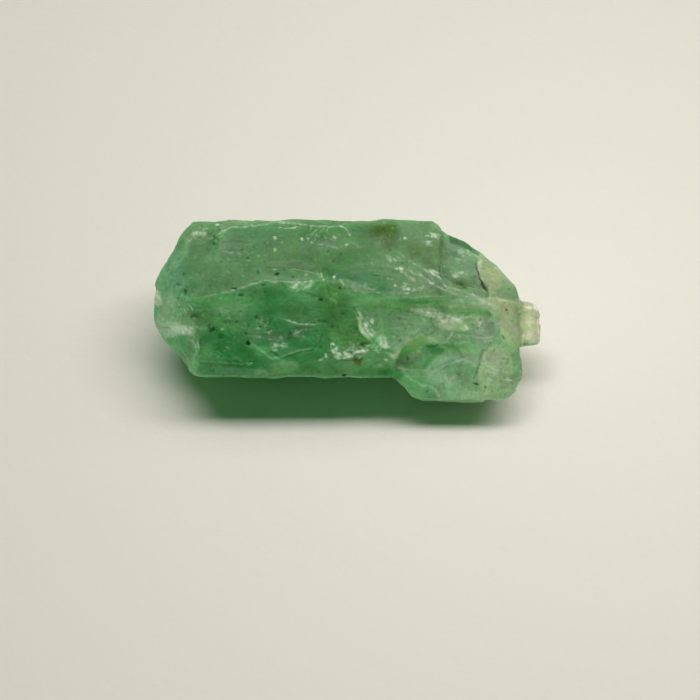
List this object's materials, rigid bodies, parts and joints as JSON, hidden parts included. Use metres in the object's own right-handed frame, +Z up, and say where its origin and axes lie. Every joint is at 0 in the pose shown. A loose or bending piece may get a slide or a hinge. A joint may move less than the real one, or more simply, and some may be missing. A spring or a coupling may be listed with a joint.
{
  "type": "raw emerald crystal",
  "caption": "Rough translucent green beryl prism with chipped ends, a lower step and block at one end, lying on a prism face.",
  "frame": {"origin": "at the base, under the middle of the box that holds the crystal", "axes": "+X along the prism's axis, from the blunt broken end to the stepped end; +Y to the back; +Z up"},
  "size_m": [0.0182, 0.0086, 0.0063],
  "materials": {
    "emerald": "rough, waxy-glossy broken beryl; cloudy translucent green with pale veils, dark specks and a nearly clear tip"
  },
  "bodies": {
    "root": {"emerald_crystal": "emerald"}
  },
  "joints": []
}
